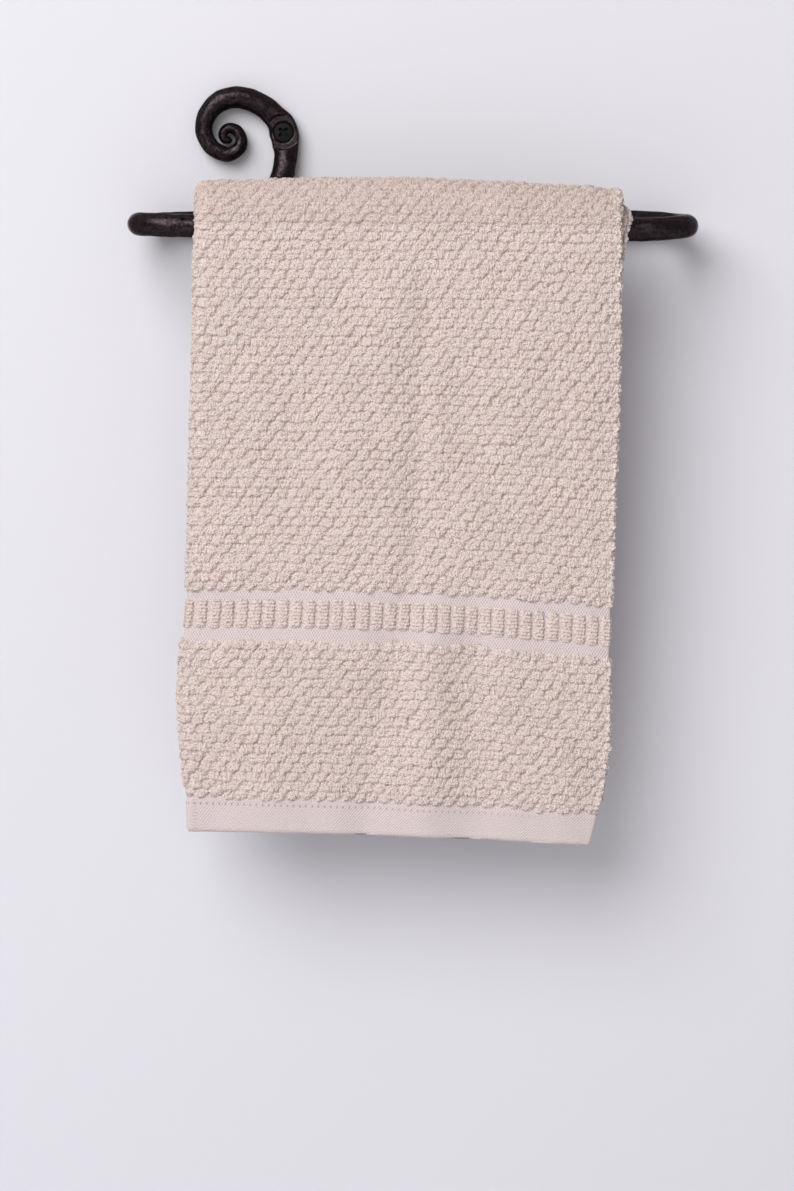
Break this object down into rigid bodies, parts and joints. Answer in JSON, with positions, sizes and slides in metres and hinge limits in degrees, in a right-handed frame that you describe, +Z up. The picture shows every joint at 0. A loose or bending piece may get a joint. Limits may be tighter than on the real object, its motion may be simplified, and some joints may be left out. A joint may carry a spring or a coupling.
{
  "type": "hand towel on scroll towel bar",
  "caption": "Terry hand towel folded in half lengthwise and hung over the front rod of a wall-mounted forged scroll towel bar",
  "frame": {"origin": "on the flat back of the screw pad, 7 mm below the screw's axis", "axes": "+X to the right along the bar, +Y into the wall, +Z up"},
  "size_m": [0.2745, 0.0711, 0.3637],
  "materials": {
    "terry": "looped cotton terry in raised popcorn cells, matte",
    "forged_iron": "hand-forged, black, semi-gloss with a fine grain",
    "black_screw": "black oxide, satin"
  },
  "bodies": {
    "root": {"towel": "terry", "towel_bar": "forged_iron", "screw": "black_screw"}
  },
  "joints": []
}
